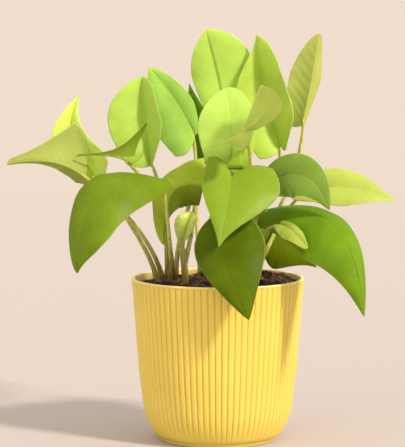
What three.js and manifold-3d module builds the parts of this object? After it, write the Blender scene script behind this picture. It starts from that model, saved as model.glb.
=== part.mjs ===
// Golden pothos in a ribbed pot: eight leafy cuttings standing in potting mix.
// Millimetres, +Z up. The origin is the centre of the pot's underside and the front of the plant faces -Y.

import * as THREE from 'three';
import { mergeVertices } from 'three/addons/utils/BufferGeometryUtils.js';
import Module from 'manifold-3d';

const wasm = await Module();
wasm.setup();

// ---- driving dimensions ----

const POT_HEIGHT = 113;
const RIM_RADIUS = 60;
const FOOT_RADIUS = 40.5;
const WALL = 2.4;
const FLOOR = 3;
// Radius of the outer wall by height: a rounded shoulder over a small foot, then a straight taper
// up to the plain lip.
const WALL_PROFILE = [
  [0, FOOT_RADIUS],
  [3, 42.8],
  [9, 46.8],
  [15, 49.6],
  [22, 51.6],
  [50, 55.1],
  [111.4, 59.8],
  [112, RIM_RADIUS],
  [POT_HEIGHT, RIM_RADIUS],
];
const INNER_HEIGHTS = [POT_HEIGHT, 50, 22, FLOOR];
const RIB_COUNT = 80;
const RIB_DEPTH = 0.9;
const RIBS_FROM = 3;
const RIBS_FULL_FROM = 15;
const RIBS_TO = 111.4;
const SEGMENTS_PER_RIB = 2;

const SOIL_LEVEL = 108.4;
const SOIL_GAP = 0.5;
const SOIL_BRIM_GAP = 0.7;
const SOIL_RINGS = 7;
const SOIL_SIDES = 48;
const LUMP_HEIGHT = 0.66;
const LUMP_LENGTHS = [15, 17, 33, 12.3];
const LUMP_PHASES = [1.3, 0.4];
const LONG_LUMP_SHARE = 0.6;
const HEAP = { x: 34, y: 26, height: 3.6, spread: 20 };
const HOLE_CLEARANCE = 0.6;
const HOLE_SIDES = 10;

const STEM_DEPTH = 16;
const STEM_STRAIGHT = 5;
const STEM_RADIUS = 2.6;
const STEM_TAPER = 0.18;
const STEM_BEND = 0.35;
const STEM_STEPS = 5;
const STEM_SIDES = 8;

const PETIOLE_FOOT_RADIUS = 1.8;
const PETIOLE_END_RADIUS = 1;
const PETIOLE_STEPS = 7;
const PETIOLE_SIDES = 6;
const PETIOLE_SUNK = 4;
const BAR_SIDEWAYS = [0, 1, 0.2];

const BLADE_THICKNESS = 0.8;
const BLADE_STEPS = 10;
const HALF_COLUMNS = 3;
const TIP_CROWDING = 1.15;
const LAST_STATION = 0.995;
const LOBE_FADE = 3;
const LOBE_TURN = 0.78 * Math.PI;
const LOBE_BULGE = 0.9;
const WAVE_PHASES = [0, 1.3];
const SAME_POINT = 1e-4;

// ---- colours ----

const POT_YELLOW = { color: 0xf0cd58, roughness: 0.42, metalness: 0 };
const SOIL_BROWN = { color: 0x2b1b12, roughness: 0.95, metalness: 0 };
const LEAF_LIME = { color: 0xa9d62f, roughness: 0.45, metalness: 0 };
const LEAF_GREEN = { color: 0x6f9c1c, roughness: 0.45, metalness: 0 };

// ---- the leaves ----
// midrib: the four control points of its Bezier curve, from the blade's base to its tip.
// left, right: from the midrib to the two edges where the blade is widest, seen on its upper face
// with the tip ahead. petiole: the stalk's first three control points; the fourth is the blade's base.
// widest: the widest place, as a share of the midrib. baseWidth, tipWidth: shares of the full width.
// taper, roundness: how the width falls off towards the tip. lobe: how far the base is swept back,
// as a share of the midrib's length. follow: how much the edges turn with the midrib (0 to 1).
// cup, wave: heights of the cupping and of the edge's waves, as shares of the half-width, and in mm.
// Pairs are for the left and the right half.

const BLADE_DEFAULTS = {
  widest: 0.36,
  baseWidth: [0.62, 0.62],
  taper: [1.35, 1.35],
  roundness: 1.7,
  lobe: [0.2, 0.2],
  follow: 1,
  cup: 0.1,
  wave: 0.8,
  waves: 1.5,
  tipWidth: 0.035,
};

const CUTTINGS = [
  {
    name: 'cutting_far_left',
    finish: LEAF_LIME,
    foot: [-41, 4],
    top: [-42, 4, 117],
    leaves: [
      {
        // upright, folded along its midrib
        petiole: [[-43, 4, 113], [-48, 6, 134], [-72, 6, 166]],
        midrib: [[-86, -2, 184], [-94, -3, 200], [-109, -4, 218], [-94, -6, 241]],
        left: [-17, -8, -4],
        right: [17, -16, -2],
        baseWidth: [0.6, 0.35],
        taper: [1.5, 1.5],
        lobe: [0.05, 0.05],
      },
      {
        // reaching out to the left, its lower face to the front
        petiole: [[-39, 3, 113], [-43, -2, 134], [-64, -12, 164]],
        midrib: [[-90, -28, 184], [-99, -33, 192], [-117, -37, 200], [-143, -35, 194]],
        left: [-2, 14, 31],
        right: [-1, 10, -7],
        widest: 0.2,
        baseWidth: [0.55, 0.55],
        taper: [1.6, 1.6],
        roundness: 1,
        lobe: [0.06, 0.04],
        follow: 0.3,
        tipWidth: 0.1,
      },
    ],
  },
  {
    name: 'cutting_left',
    finish: LEAF_LIME,
    foot: [-34, 8],
    top: [-35, 8, 116],
    leaves: [
      {
        petiole: [[-35, 8, 112], [-36, 8, 144], [-36, 2, 172]],
        midrib: [[-47, 2, 190], [-48, 4, 208], [-53, 4, 233], [-52, 2, 252]],
        left: [-25, -6, 3],
        right: [10, -14, 5],
        widest: 0.45,
        baseWidth: [0.62, 0.1],
        taper: [0.95, 0.5],
        roundness: 2,
        lobe: [0.04, 0],
      },
      {
        // small, with a long drawn-out tip, folded so that its near half shows its lower face
        petiole: [[-35, 8, 112], [-32, 12, 144], [-48, 4, 182]],
        midrib: [[-59, -22, 193], [-68, -26, 198], [-82, -30, 200], [-97, -28, 198]],
        left: [11, -4, 28],
        right: [3, 8, 19],
        widest: 0.03,
        baseWidth: [0.9, 0.9],
        taper: [3.6, 3.6],
        roundness: 1,
        lobe: [0, 0.15],
        follow: 0,
        tipWidth: 0.08,
      },
    ],
  },
  {
    name: 'cutting_left_front',
    finish: LEAF_GREEN,
    foot: [-29, 3],
    top: [-30, 2, 117],
    leaves: [
      {
        // large, arching over to the left and hanging
        petiole: [[-30, 1, 113], [-33, -26, 130], [-34, -38, 162]],
        midrib: [[-33, -25, 181], [-56, -36, 184], [-90, -60, 202], [-94, -62, 123]],
        left: [10, -19, -23],
        right: [-10, 10, 4],
        widest: 0.6,
        baseWidth: [0.15, 0.3],
        taper: [1.3, 0.5],
        roundness: 2.5,
        lobe: [0, 0],
        follow: 0.25,
      },
      {
        // curled, hanging tip down
        petiole: [[-29, 2, 113], [-30, 4, 146], [-9, 0, 190]],
        midrib: [[-10, -14, 178], [-34, -18, 184], [-36, -20, 167], [-37, -24, 138]],
        left: [4, 17, -14],
        right: [-6, 10, 10],
        widest: 0.35,
        baseWidth: [0.9, 1.6],
        taper: [3, 0.4],
        roundness: 1.8,
        lobe: [0, 0],
        follow: 0.6,
      },
    ],
  },
  {
    name: 'cutting_with_new_leaf',
    finish: LEAF_LIME,
    foot: [-22, -6],
    top: [-25, -7, 136],
    leaves: [
      {
        petiole: [[-23, -6, 124], [-16, 2, 146], [-12, 10, 187]],
        midrib: [[-16, 10, 211], [-21, 12, 223], [-33, 12, 244], [-48, 8, 258]],
        left: [-17, -2, -16],
        right: [8, -2, 6],
        widest: 0.5,
        baseWidth: [0.75, 0.15],
        taper: [1, 0.8],
        lobe: [0.14, 0],
      },
      {
        // young leaf, still half rolled
        petiole: [[-25, -6, 133], [-25, -7, 135], [-24, -8, 136]],
        midrib: [[-24, -8, 138], [-22, -10, 145], [-20, -11, 152], [-17, -10, 159]],
        left: [-9, -4, 3],
        right: [4, -6, 1],
        widest: 0.7,
        baseWidth: [0.15, 0.15],
        taper: [0.5, 0.5],
        cup: 0.25,
      },
    ],
  },
  {
    name: 'cutting_back',
    finish: LEAF_LIME,
    foot: [-12, 22],
    top: [-11, 22, 117],
    leaves: [
      {
        // the tallest leaf
        petiole: [[-12, 22, 113], [-9, 24, 140], [4, 14, 180]],
        midrib: [[6, 20, 213], [5, 24, 237], [0, 24, 262], [-8, 16, 284]],
        left: [-19, -2, 3],
        right: [21, -3, 15],
        widest: 0.5,
        baseWidth: [0.3, 0.6],
        taper: [0.9, 0.9],
      },
      {
        // shaded leaf behind the others
        petiole: [[-12, 23, 113], [-14, 34, 140], [-18, 40, 167]],
        midrib: [[-10, 42, 193], [-12, 46, 209], [-17, 46, 229], [-20, 44, 246]],
        left: [-8, -2, 4],
        right: [11, 4, -3],
      },
      {
        // bright leaf in the centre
        petiole: [[-11, 21, 113], [-3, 6, 142], [12, -14, 172]],
        midrib: [[9, -24, 191], [10, -28, 210], [9, -28, 229], [5, -24, 245]],
        left: [-22, -4, 0],
        right: [16, -4, 4],
        widest: 0.5,
        taper: [0.75, 0.6],
        lobe: [0.2, 0.2],
      },
    ],
  },
  {
    name: 'cutting_front',
    finish: LEAF_GREEN,
    foot: [3, -22],
    top: [2, -24, 117],
    leaves: [
      {
        // heart-shaped, leaning out over the front
        petiole: [[2, -23, 113], [4, -18, 146], [9, -30, 174]],
        midrib: [[9, -48, 187], [7, -62, 176], [4, -76, 157], [0, -84, 143]],
        left: [33, 2, 3],
        right: [-17, 4, 9],
        baseWidth: [0.8, 0.95],
        taper: [2.2, 1.6],
        lobe: [0.1, 0.15],
      },
      {
        // hanging over the rim
        petiole: [[2, -23, 113], [-1, -24, 143], [-7, -34, 167]],
        midrib: [[-4, -44, 158], [-3, -56, 146], [4, -76, 127], [20, -80, 94]],
        left: [29, 6, 7],
        right: [-16, 4, -4],
        widest: 0.45,
        baseWidth: [0.72, 0.1],
        taper: [1, 1],
        lobe: [0.06, 0],
      },
      {
        // inner leaf, folded
        petiole: [[3, -22, 113], [14, -18, 138], [20, -22, 165]],
        midrib: [[20, -33, 189], [15, -34, 190], [9, -35, 191], [3, -36, 191]],
        left: [1, -6, -4],
        right: [-1, 3, 14],
        widest: 0.15,
        baseWidth: [0.8, 0.9],
        taper: [1.2, 1.2],
        roundness: 1.2,
        lobe: [0, 0],
      },
    ],
  },
  {
    name: 'cutting_back_right',
    finish: LEAF_LIME,
    foot: [16, 26],
    top: [17, 28, 118],
    leaves: [
      {
        // pointed
        petiole: [[17, 27, 114], [20, 44, 140], [51, 34, 176]],
        midrib: [[44, 14, 203], [37, 18, 221], [29, 18, 251], [27, 12, 281]],
        left: [-21, -6, -6],
        right: [14, -18, 5],
        baseWidth: [0.75, 0.2],
        taper: [2.2, 0.62],
        roundness: 3,
        lobe: [0.06, 0.05],
      },
      {
        // narrow and folded, its lower face to the front
        petiole: [[17, 27, 114], [32, 44, 134], [60, 34, 178]],
        midrib: [[59, 26, 217], [63, 22, 232], [68, 20, 258], [71, 22, 281]],
        left: [6, 9, 3],
        right: [-15, 4, 3],
        widest: 0.55,
        baseWidth: [0.4, 0.7],
        taper: [0.5, 0.65],
        roundness: 1.5,
        lobe: [0.05, 0.05],
      },
      {
        // low leaf at the right, in shade
        petiole: [[17, 27, 114], [23, 22, 133], [26, 20, 151]],
        midrib: [[31, 14, 146], [38, 16, 146], [56, 14, 137], [69, 8, 119]],
        left: [6, 6, 10],
        right: [-3, -4, -24],
      },
    ],
  },
  {
    name: 'cutting_right',
    finish: LEAF_GREEN,
    foot: [24, -4],
    top: [25, -6, 118],
    leaves: [
      {
        // high foreground leaf, tip towards the front
        petiole: [[25, -6, 114], [20, -20, 146], [26, -22, 193]],
        midrib: [[22, -62, 218], [12, -70, 219], [5, -90, 214], [-4, -103, 210]],
        left: [-2, -8, -12],
        right: [3, 4, 29],
        widest: 0.12,
        baseWidth: [0.9, 0.9],
        taper: [2.2, 15],
        roundness: 1.2,
        lobe: [0.02, 0.42],
      },
      {
        // round, at the right
        petiole: [[25, -6, 114], [25, -20, 142], [23, -24, 170]],
        midrib: [[34, -28, 179], [48, -34, 190], [64, -44, 193], [75, -46, 164]],
        left: [2, 5, 14],
        right: [-1, -8, -14],
        widest: 0.4,
        taper: [1.1, 1],
        lobe: [0.08, 0.08],
      },
      {
        // reaching far to the right
        petiole: [[25, -5, 114], [38, 14, 136], [49, 16, 171]],
        midrib: [[63, 10, 173], [82, 6, 176], [106, 2, 174], [124, 2, 166]],
        left: [1, 6, 13],
        right: [0, -14, -10],
        taper: [1.7, 1.3],
      },
      {
        // large, arching over to the right and hanging
        petiole: [[25, -6, 114], [28, -4, 136], [24, -8, 158]],
        midrib: [[31, -14, 160], [55, -28, 165], [91, -58, 173], [96.5, -78, 96]],
        left: [7, 13, 3],
        right: [-14, -9, -25],
        widest: 0.52,
        baseWidth: [0.3, 0.38],
        taper: [1, 1.1],
        lobe: [0.04, 0.04],
      },
      {
        // small leaf tucked under the large one
        petiole: [[25, -7, 114], [28, -18, 136], [26, -30, 154]],
        midrib: [[42, -42, 154], [49, -52, 152], [55, -60, 147], [59, -66, 140]],
        left: [4, -2, 2],
        right: [-5, -3, -4],
        widest: 0.3,
        taper: [0.9, 0.9],
        lobe: [0.05, 0.05],
        tipWidth: 0.15,
      },
    ],
  },
];

// ---- solids ----

function vector([x, y, z]) {
  return new THREE.Vector3(x, y, z);
}

// Triangles between the rows of a closed ring grid, with both ends capped by a centre point.
function cappedRings(rings) {
  const sides = rings[0].length;
  const centre = (ring) =>
    ring.reduce((sum, p) => sum.add(p), new THREE.Vector3()).divideScalar(sides);
  const points = [...rings.flat(), centre(rings[0]), centre(rings[rings.length - 1])];
  const first = points.length - 2;
  const last = points.length - 1;
  const index = [];
  for (let row = 0; row < rings.length - 1; row += 1) {
    for (let side = 0; side < sides; side += 1) {
      const next = (side + 1) % sides;
      const a = row * sides + side;
      const b = row * sides + next;
      index.push(a, b, b + sides, a, b + sides, a + sides);
    }
  }
  const top = (rings.length - 1) * sides;
  for (let side = 0; side < sides; side += 1) {
    const next = (side + 1) % sides;
    index.push(first, next, side, last, top + side, top + next);
  }
  return geometryOf(points, index);
}

function geometryOf(points, index) {
  const geometry = new THREE.BufferGeometry();
  const places = points.flatMap((p) => [p.x, p.y, p.z]);
  geometry.setAttribute('position', new THREE.Float32BufferAttribute(places, 3));
  geometry.setIndex(index);
  return geometry;
}

function solidOf(geometry) {
  const bare = geometry.clone();
  bare.deleteAttribute('normal');
  bare.deleteAttribute('uv');
  const merged = mergeVertices(bare, SAME_POINT);
  const vertProperties = new Float32Array(merged.attributes.position.array);
  const triVerts = new Uint32Array(merged.index.array);
  return new wasm.Manifold(new wasm.Mesh({ numProp: 3, vertProperties, triVerts }));
}

function geometryFrom(solid) {
  const mesh = solid.getMesh();
  const geometry = new THREE.BufferGeometry();
  geometry.setAttribute('position', new THREE.BufferAttribute(mesh.vertProperties.slice(), 3));
  geometry.setIndex(new THREE.BufferAttribute(mesh.triVerts.slice(), 1));
  return geometry;
}

// A round bar along a curve, its radius given by a function of the distance along it.
function bar(curve, radiusAt, steps, sides) {
  const rings = [];
  for (let step = 0; step <= steps; step += 1) {
    const along = step / steps;
    const centre = curve.getPoint(along);
    const tangent = curve.getTangent(along);
    const across = vector(BAR_SIDEWAYS).cross(tangent).normalize();
    const up = new THREE.Vector3().crossVectors(tangent, across);
    const ring = [];
    for (let side = 0; side < sides; side += 1) {
      const angle = (side / sides) * 2 * Math.PI;
      const offset = across.clone().multiplyScalar(Math.cos(angle));
      offset.addScaledVector(up, Math.sin(angle));
      ring.push(centre.clone().addScaledVector(offset, radiusAt(along)));
    }
    rings.push(ring);
  }
  return cappedRings(rings);
}

// ---- pot ----

function ribFactor(height) {
  if (height > RIBS_TO || height <= RIBS_FROM) return 0;
  return Math.min(1, (height - RIBS_FROM) / (RIBS_FULL_FROM - RIBS_FROM));
}

function innerRadius(height) {
  const upper = WALL_PROFILE.findIndex(([z]) => z >= height);
  const [z1, r1] = WALL_PROFILE[upper];
  const [z0, r0] = WALL_PROFILE[Math.max(0, upper - 1)];
  const share = z1 > z0 ? (height - z0) / (z1 - z0) : 0;
  return r0 + (r1 - r0) * share - WALL;
}

function potRing(radius, height, depth) {
  const sides = RIB_COUNT * SEGMENTS_PER_RIB;
  return Array.from({ length: sides }, (_, side) => {
    const angle = (side / sides) * 2 * Math.PI;
    const r = radius - (side % SEGMENTS_PER_RIB === 0 ? 0 : depth);
    return new THREE.Vector3(r * Math.cos(angle), r * Math.sin(angle), height);
  });
}

function potGeometry() {
  const outer = WALL_PROFILE.map(([height, radius]) =>
    potRing(radius, height, RIB_DEPTH * ribFactor(height)),
  );
  const inner = INNER_HEIGHTS.map((height) => potRing(innerRadius(height), height, 0));
  return cappedRings([...outer, ...inner]);
}

// ---- soil ----

// Height of the soil at a point: small lumps on a bed that is heaped towards the back right.
function soilHeight(x, y) {
  const [k1, k2, k3, k4] = LUMP_LENGTHS.map((length) => (2 * Math.PI) / length);
  const [inX, inY] = LUMP_PHASES;
  const round = Math.sin(k1 * x + inX) * Math.cos(k2 * y + inY);
  const lumps = round + LONG_LUMP_SHARE * Math.sin(k3 * x - k4 * y);
  const fromHeap = Math.hypot(x - HEAP.x, y - HEAP.y) / HEAP.spread;
  return SOIL_LEVEL + LUMP_HEIGHT * lumps + HEAP.height * Math.exp(-(fromHeap ** 2));
}

function soilRing(radius, heightOf) {
  return Array.from({ length: SOIL_SIDES }, (_, side) => {
    const angle = (side / SOIL_SIDES) * 2 * Math.PI;
    const x = radius * Math.cos(angle);
    const y = radius * Math.sin(angle);
    return new THREE.Vector3(x, y, heightOf(x, y));
  });
}

function soilGeometry() {
  const wallHeights = [FLOOR + SOIL_GAP, ...INNER_HEIGHTS.slice(1, 3).reverse()];
  const rings = wallHeights.map((z) => soilRing(innerRadius(z) - SOIL_GAP, () => z));
  const brim = innerRadius(SOIL_LEVEL) - SOIL_BRIM_GAP;
  for (let step = 0; step < SOIL_RINGS; step += 1) {
    rings.push(soilRing(brim * (1 - step / SOIL_RINGS), soilHeight));
  }
  return cappedRings(rings);
}

// ---- stems, stalks and blades ----

function stemCurve({ foot: [x, y], top }) {
  const end = vector(top);
  const low = new THREE.Vector3(x, y, SOIL_LEVEL - STEM_DEPTH);
  const straight = new THREE.Vector3(x, y, SOIL_LEVEL + STEM_STRAIGHT);
  return new THREE.CubicBezierCurve3(low, straight, straight.clone().lerp(end, STEM_BEND), end);
}

function stemGeometry(cutting) {
  const radiusAt = (along) => STEM_RADIUS * (1 - STEM_TAPER * along);
  return bar(stemCurve(cutting), radiusAt, STEM_STEPS, STEM_SIDES);
}

function petioleGeometry(leaf) {
  const [p0, p1, p2] = leaf.petiole.map(vector);
  const [base, next] = leaf.midrib.map(vector);
  const inward = next.clone().sub(base).setLength(PETIOLE_SUNK);
  const curve = new THREE.CubicBezierCurve3(p0, p1, p2, base.clone().add(inward));
  const radiusAt = (along) => THREE.MathUtils.lerp(PETIOLE_FOOT_RADIUS, PETIOLE_END_RADIUS, along);
  return bar(curve, radiusAt, PETIOLE_STEPS, PETIOLE_SIDES);
}

// Share of the full half-width at a station along the midrib: it swells from the base to the widest
// place as a sine and then narrows to a small blunt tip.
function widthShare(station, shape, side) {
  const { widest, roundness, tipWidth } = shape;
  const baseWidth = shape.baseWidth[side];
  if (station < widest) {
    return tipWidth + baseWidth + (1 - baseWidth) * Math.sin((Math.PI / 2) * (station / widest));
  }
  const past = (station - widest) / (1 - widest);
  return tipWidth + (1 - past ** roundness) ** shape.taper[side];
}

// The turn that takes one direction to another by the shortest way, applied to a vector.
function turned(v, from, to) {
  return v.clone().applyQuaternion(new THREE.Quaternion().setFromUnitVectors(from, to));
}

// One half of a blade at a station, as points from beside the midrib to the edge. The half reaches
// along its own edge vector, is swept back beside the stalk as a lobe, cupped, and waved at the edge.
function halfRow(shape, side, station, centre, tangent, reach, length) {
  const width = widthShare(station, shape, side);
  const [ahead, aside] = side === 0 ? [tangent, reach] : [reach, tangent];
  const normal = new THREE.Vector3().crossVectors(ahead, aside).normalize();
  const back = shape.lobe[side] * length * (1 - station) ** LOBE_FADE;
  const angle = 2 * Math.PI * shape.waves * station + WAVE_PHASES[side];
  const ripple = shape.wave * width * Math.sin(angle);
  const points = [];
  for (let column = 1; column <= HALF_COLUMNS; column += 1) {
    const across = column / HALF_COLUMNS;
    const cupping = reach.length() * shape.cup * width * Math.sin(Math.PI * across);
    const point = centre.clone().addScaledVector(reach, width * across);
    point.addScaledVector(tangent, -back * Math.sin(LOBE_TURN * across ** LOBE_BULGE));
    point.addScaledVector(normal, cupping + ripple * across ** 2);
    points.push(point);
  }
  return points;
}

// The middle surface of a blade, as rows of points from its base to its tip, each row from the left
// edge over the midrib to the right edge. The edge vectors turn with the midrib.
function bladeRows(leaf) {
  const shape = { ...BLADE_DEFAULTS, ...leaf };
  const midrib = new THREE.CubicBezierCurve3(...leaf.midrib.map(vector));
  const length = midrib.getLength();
  const middle = midrib.getTangent(shape.widest);
  const rows = [];
  for (let step = 0; step <= BLADE_STEPS; step += 1) {
    const station = Math.min(LAST_STATION, 1 - (1 - step / BLADE_STEPS) ** TIP_CROWDING);
    const centre = midrib.getPoint(station);
    const tangent = midrib.getTangent(station);
    const heading = middle.clone().lerp(tangent, shape.follow).normalize();
    const [left, right] = [leaf.left, leaf.right].map((edge, side) => {
      const reach = turned(vector(edge), middle, heading);
      return halfRow(shape, side, station, centre, tangent, reach, length);
    });
    rows.push([...left.reverse(), centre, ...right]);
  }
  return rows;
}

// The surface's direction at a point of a blade, across from the row's and the column's directions.
function normalAt(rows, row, column) {
  const before = rows[Math.max(row - 1, 0)][column];
  const after = rows[Math.min(row + 1, rows.length - 1)][column];
  const leftward = rows[row][Math.max(column - 1, 0)];
  const rightward = rows[row][Math.min(column + 1, rows[row].length - 1)];
  return rightward.clone().sub(leftward).cross(after.clone().sub(before)).normalize();
}

// The blade with its thickness: the middle surface moved to both sides, split into triangles alike
// on both faces, and closed around the edge.
function bladeGeometry(leaf) {
  const rows = bladeRows(leaf);
  const columns = rows[0].length;
  const face = (offset) =>
    rows.flatMap((row, r) =>
      row.map((p, c) => p.clone().addScaledVector(normalAt(rows, r, c), offset)),
    );
  const points = [...face(BLADE_THICKNESS / 2), ...face(-BLADE_THICKNESS / 2)];
  const under = rows.length * columns;
  const index = [];
  for (let r = 0; r < rows.length - 1; r += 1) {
    for (let c = 0; c < columns - 1; c += 1) {
      const a = r * columns + c;
      const d = a + columns + 1;
      index.push(a, a + 1, d, a, d, a + columns);
      index.push(under + a, under + d, under + a + 1, under + a, under + a + columns, under + d);
    }
  }
  const edge = [];
  for (let c = 0; c < columns - 1; c += 1) edge.push(c);
  for (let r = 0; r < rows.length - 1; r += 1) edge.push(r * columns + columns - 1);
  for (let c = columns - 1; c > 0; c -= 1) edge.push((rows.length - 1) * columns + c);
  for (let r = rows.length - 1; r > 0; r -= 1) edge.push(r * columns);
  edge.forEach((a, i) => {
    const b = edge[(i + 1) % edge.length];
    index.push(a, under + b, b, a, under + a, under + b);
  });
  return geometryOf(points, index);
}

function cuttingGeometry(cutting) {
  let plant = solidOf(stemGeometry(cutting));
  for (const leaf of cutting.leaves) {
    plant = plant.add(solidOf(petioleGeometry(leaf))).add(solidOf(bladeGeometry(leaf)));
  }
  return geometryFrom(plant);
}

// The soil with a plain round hole for each stem.
function drilledSoilGeometry() {
  let soil = solidOf(soilGeometry());
  const radius = STEM_RADIUS + HOLE_CLEARANCE;
  const depth = STEM_DEPTH + SOIL_GAP;
  const height = depth + 2 * STEM_STRAIGHT;
  for (const { foot: [x, y] } of CUTTINGS) {
    const drill = new THREE.CylinderGeometry(radius, radius, height, HOLE_SIDES);
    drill.rotateX(Math.PI / 2);
    drill.translate(x, y, SOIL_LEVEL - depth + height / 2);
    soil = soil.subtract(solidOf(drill));
  }
  return geometryFrom(soil);
}

// ---- the plant in its pot ----

function piece(name, geometry, finish) {
  const mesh = new THREE.Mesh(geometry, new THREE.MeshStandardMaterial(finish));
  mesh.name = name;
  return mesh;
}

const plantInPot = new THREE.Group();
plantInPot.add(piece('pot', potGeometry(), POT_YELLOW));
plantInPot.add(piece('soil', drilledSoilGeometry(), SOIL_BROWN));
for (const cutting of CUTTINGS) {
  plantInPot.add(piece(cutting.name, cuttingGeometry(cutting), cutting.finish));
}

export default plantInPot;
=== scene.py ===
import math

import bpy
import numpy as np
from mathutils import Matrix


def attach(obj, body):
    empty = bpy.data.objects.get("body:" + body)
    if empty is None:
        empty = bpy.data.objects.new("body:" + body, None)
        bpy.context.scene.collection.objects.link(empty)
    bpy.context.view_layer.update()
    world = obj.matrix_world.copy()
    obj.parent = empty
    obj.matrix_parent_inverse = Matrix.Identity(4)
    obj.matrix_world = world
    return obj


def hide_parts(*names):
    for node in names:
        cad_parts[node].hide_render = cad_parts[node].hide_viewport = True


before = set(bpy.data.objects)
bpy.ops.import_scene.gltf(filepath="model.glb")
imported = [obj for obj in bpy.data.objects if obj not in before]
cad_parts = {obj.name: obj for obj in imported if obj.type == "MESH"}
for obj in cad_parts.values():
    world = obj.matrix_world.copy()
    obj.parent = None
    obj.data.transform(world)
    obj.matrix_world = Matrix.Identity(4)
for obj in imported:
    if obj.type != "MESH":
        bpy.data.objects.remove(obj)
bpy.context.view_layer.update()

# Golden pothos in a ribbed yellow pot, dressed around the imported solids.
# Shapes are worked out in millimetres, as the solids were, and turned to metres as they become meshes.

mm = 0.001


# small helpers

def linear(hexColour):
    # an sRGB hex colour as the linear values that shaders read
    parts = np.array([int(hexColour[i:i + 2], 16) / 255 for i in (0, 2, 4)])
    bent = np.where(parts <= 0.04045, parts / 12.92, ((parts + 0.055) / 1.055) ** 2.4)
    return (*bent, 1.0)


def addNode(tree, kind, settings=None, links=None):
    # a node with its settings; capitalised or numbered settings are its sockets, the others its properties
    node = tree.nodes.new(kind)
    for name, value in (settings or {}).items():
        if isinstance(name, int) or name[0].isupper():
            node.inputs[name].default_value = value
        else:
            setattr(node, name, value)
    for name, source in (links or {}).items():
        tree.links.new(source, node.inputs[name])
    return node


def rampOf(tree, source, stops):
    # a colour ramp read at source; stops are pairs of place and linear colour
    ramp = addNode(tree, "ShaderNodeValToRGB", links={"Fac": source})
    elements = ramp.color_ramp.elements
    while len(elements) < len(stops):
        elements.new(0.5)
    for element, (place, colour) in zip(elements, stops):
        element.position = place
        element.color = colour
    return ramp.outputs["Color"]


def newMaterial(name):
    material = bpy.data.materials.new(name)
    material.use_nodes = True
    tree = material.node_tree
    shader = tree.nodes["Principled BSDF"]
    return material, tree, shader


def meshPiece(name, points, faces, material, rides=True, smooth=True, maps=None):
    # an object from points in millimetres; maps are values per point that its material reads
    mesh = bpy.data.meshes.new(name)
    mesh.from_pydata((np.asarray(points) * mm).tolist(), [], faces)
    for label, values in (maps or {}).items():
        attribute = mesh.attributes.new(label, "FLOAT", "POINT")
        attribute.data.foreach_set("value", np.asarray(values, np.float32).ravel())
    if smooth:
        mesh.shade_smooth()
    mesh.materials.append(material)
    piece = bpy.data.objects.new(name, mesh)
    bpy.context.scene.collection.objects.link(piece)
    if rides:
        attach(piece, "root")
    return piece


def unit(v):
    return v / np.maximum(np.linalg.norm(v, axis=-1, keepdims=True), 1e-9)


def bezier(controls, t):
    # the cubic curve on four control points, at every t
    p = np.asarray(controls, float)
    t = np.asarray(t, float)[:, None]
    return (1 - t) ** 3 * p[0] + 3 * (1 - t) ** 2 * t * p[1] + 3 * (1 - t) * t ** 2 * p[2] + t ** 3 * p[3]


def bezierSlope(controls, t):
    p = np.asarray(controls, float)
    t = np.asarray(t, float)[:, None]
    return 3 * ((1 - t) ** 2 * (p[1] - p[0]) + 2 * (1 - t) * t * (p[2] - p[1]) + t ** 2 * (p[3] - p[2]))


def gridFaces(rows, columns, around=False, start=0):
    # quads between the rows of a grid of points, whose last column meets the first one if it goes around
    r = np.arange(rows - 1)[:, None]
    c = np.arange(columns if around else columns - 1)[None, :]
    a = start + r * columns + c
    b = start + r * columns + (c + 1) % columns
    return np.stack([a, b, b + columns, a + columns], -1).reshape(-1, 4).tolist()


def tube(path, radii, sides, start=0, groove=0.0):
    # Rings of the given radii around a path, closed at both ends by a centre point.
    # groove is the share by which the radius dips on the side that looks up.
    path = np.asarray(path, float)
    tangent = unit(np.gradient(path, axis=0))
    across = unit(np.cross((0, 1, 0.2), tangent))
    up = np.cross(tangent, across)
    angle = np.linspace(0, 2 * np.pi, sides, endpoint=False)
    grooveWidth = 0.3
    dip = 1 - groove * np.exp(-((np.sin(angle / 2 - np.pi / 4) / grooveWidth) ** 2))
    radius = np.asarray(radii)[:, None] * dip[None, :]
    ring = across[:, None] * np.cos(angle)[None, :, None] + up[:, None] * np.sin(angle)[None, :, None]
    points = path[:, None] + radius[..., None] * ring
    rows = len(path)
    faces = gridFaces(rows, sides, around=True, start=start)
    first, last = start + rows * sides, start + rows * sides + 1
    nextSide = [(side + 1) % sides for side in range(sides)]
    faces += [[first, start + nextSide[side], start + side] for side in range(sides)]
    top = start + (rows - 1) * sides
    faces += [[last, top + side, top + nextSide[side]] for side in range(sides)]
    return np.concatenate([points.reshape(-1, 3), path[:1], path[-1:]]), faces


def valueNoise(x, y, cell, seed):
    # smooth random heights from -1 to 1, one for each cell, blended between
    table = np.random.default_rng(seed).uniform(-1, 1, (61, 61))
    u, v = x / cell + 200, y / cell + 200
    i, j = np.floor(u).astype(int), np.floor(v).astype(int)
    a, b = u - i, v - j
    a, b = a * a * (3 - 2 * a), b * b * (3 - 2 * b)

    def row(q):
        return table[i % 61, q % 61] * (1 - a) + table[(i + 1) % 61, q % 61] * a

    return row(j) * (1 - b) + row(j + 1) * b


print("helpers ready")


# camera, light and floor

view = {
    "place": (-0.0106, -1.600, 0.304),
    "down": 5.48,           # degrees below level
    "lens": 186.6,          # mm, on a 36 mm sensor
    "keyFrom": (2.3, -1.85, 2.45),
    "keyPower": 3.4,        # W/m2
    "keySize": 6.9,         # degrees across
    "keyColour": "FFF6EA",
    "fillFrom": (-0.9, -1.5, 0.9),
    "fillPower": 5,         # W
    "fillSize": 1.4,        # m across
    "fillColour": "FFFAF4",
    "roomColour": "FFF7F0",
    "roomLight": 1.0,
    "horizonColour": "F0E4D2",
    "floorNear": "B9AEA7",
    "floorFar": "BDB2A9",
}


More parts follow.
